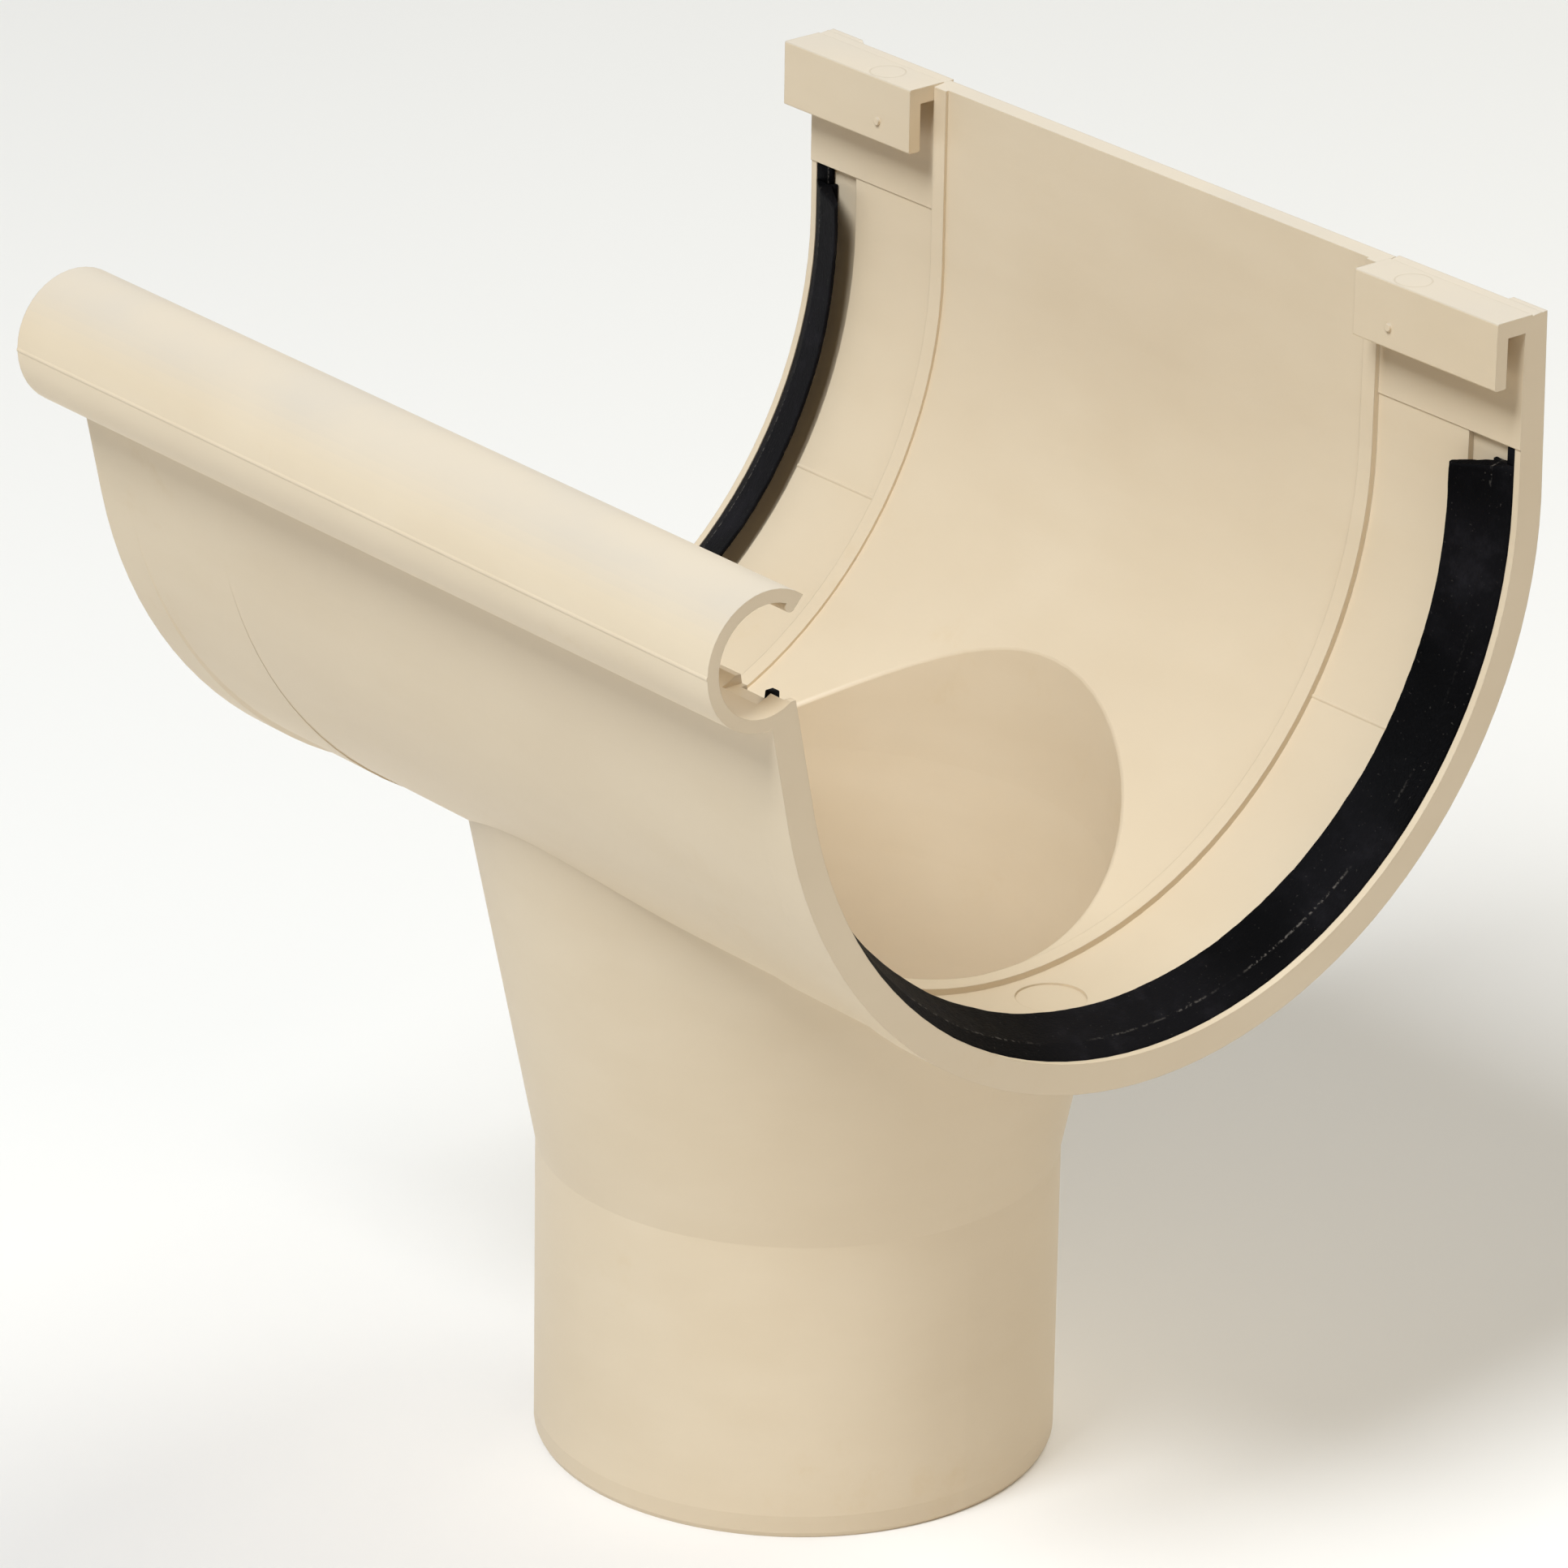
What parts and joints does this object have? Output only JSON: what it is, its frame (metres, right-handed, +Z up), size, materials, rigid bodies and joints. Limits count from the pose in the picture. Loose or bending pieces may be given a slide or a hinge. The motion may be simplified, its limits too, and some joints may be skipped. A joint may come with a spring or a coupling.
{
  "type": "gutter outlet",
  "caption": "Running outlet for a half-round gutter: a trough section with lip-sealed sockets at its ends, a front bead, back clips and a tapered drop to a round spigot.",
  "frame": {"origin": "centre of the spigot's bottom rim", "axes": "+X along the gutter, +Y towards the wall of the building, +Z up along the spigot"},
  "size_m": [0.16, 0.1579, 0.189],
  "materials": {
    "moulded_plastic": "sand moulded plastic, satin",
    "seal_rubber": "black rubber"
  },
  "bodies": {
    "root": {"outlet_body": "moulded_plastic", "left_seal": "seal_rubber", "right_seal": "seal_rubber"}
  },
  "joints": []
}
